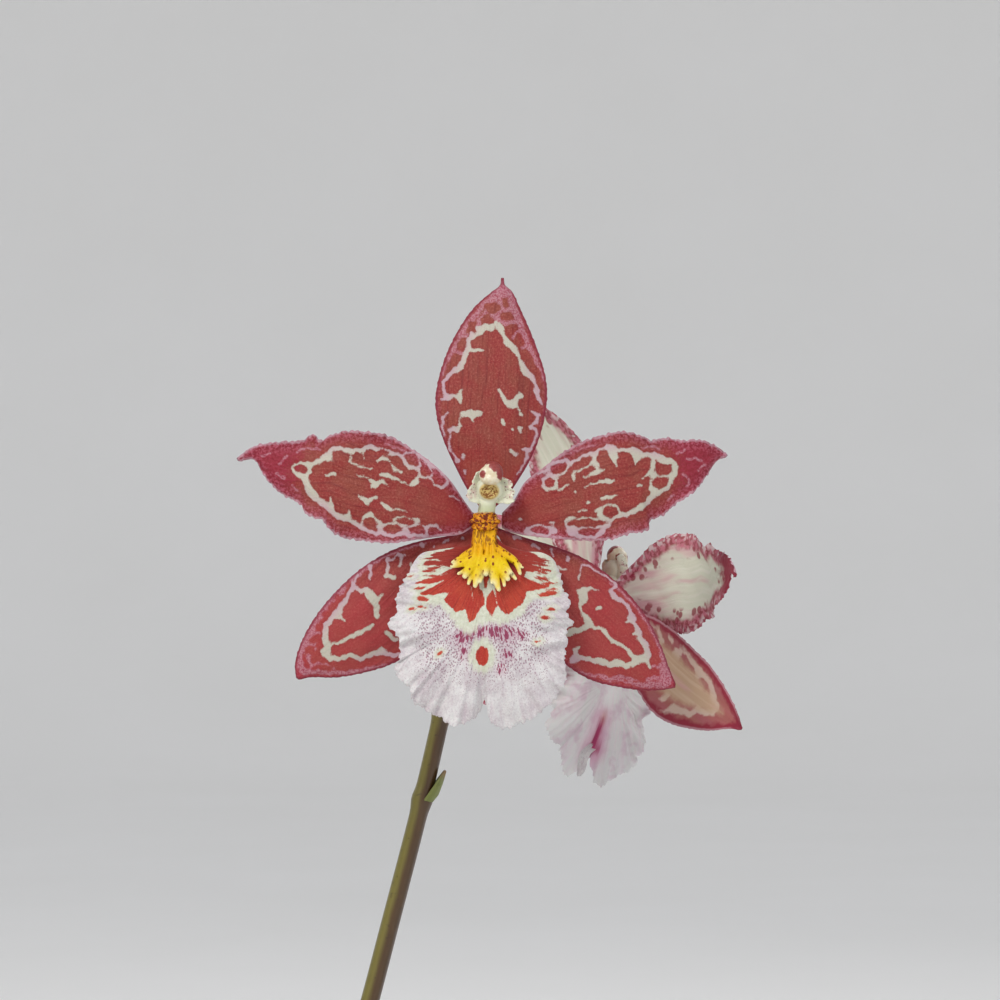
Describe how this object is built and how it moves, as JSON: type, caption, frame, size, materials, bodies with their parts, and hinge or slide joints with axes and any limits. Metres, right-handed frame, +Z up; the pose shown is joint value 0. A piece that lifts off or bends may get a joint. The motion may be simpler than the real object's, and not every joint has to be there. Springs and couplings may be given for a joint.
{
  "type": "potted oncidopsis orchid",
  "caption": "Orchid in a plain clay pot of bark: pseudobulbs with strap leaves and an arching spike of marbled red blooms with a broad pale lip and a yellow crest.",
  "frame": {"origin": "centre of the pot's flat underside", "axes": "+Z up along the pot's axis, -Y towards the side that the first bloom faces, +X to the right seen from there"},
  "size_m": [0.3126, 0.2235, 0.4594],
  "materials": {
    "clay": "unglazed fired clay",
    "bark": "rough chips",
    "root": "dry velamen",
    "bulb": "satin",
    "leaf": "satin",
    "spike": "satin",
    "bract": "satin",
    "tepal": "soft living tissue",
    "lip": "soft living tissue",
    "crest": "waxy",
    "column": "waxy",
    "anther_cap": "waxy"
  },
  "bodies": {
    "root": {"clay_pot": "clay", "rhizome_and_roots": "root", "flowering_pseudobulb": "bulb", "older_pseudobulb": "bulb", "oldest_pseudobulb": "bulb", "flowering_top_leaf_left": "leaf", "flowering_top_leaf_right": "leaf", "flowering_side_leaf": "leaf", "older_top_leaf_rear": "leaf", "older_top_leaf_left": "leaf", "older_side_leaf": "leaf", "oldest_top_leaf": "leaf", "growth_leaf_outer": "leaf", "growth_leaf_right": "leaf", "growth_leaf_front": "leaf", "flower_spike": "spike", "spike_scale_low": "bract", "spike_scale_middle": "bract", "spike_scale_high": "bract", "bloom_scale_lower": "bract", "bloom_scale_upper": "bract", "bark_mix": "bark", "first_bloom_lip": "lip", "first_bloom_crest": "crest", "first_bloom_dorsal_sepal": "tepal", "first_bloom_left_petal": "tepal", "first_bloom_right_petal": "tepal", "first_bloom_left_sepal": "tepal", "first_bloom_right_sepal": "tepal", "first_bloom_column": "column", "first_bloom_anther_cap": "anther_cap", "second_bloom_lip": "lip", "second_bloom_crest": "crest", "second_bloom_dorsal_sepal": "tepal", "second_bloom_left_petal": "tepal", "second_bloom_right_petal": "tepal", "second_bloom_left_sepal": "tepal", "second_bloom_right_sepal": "tepal", "second_bloom_column": "column", "second_bloom_anther_cap": "anther_cap", "first_bloom_stalk": "spike", "second_bloom_stalk": "spike"}
  },
  "joints": []
}
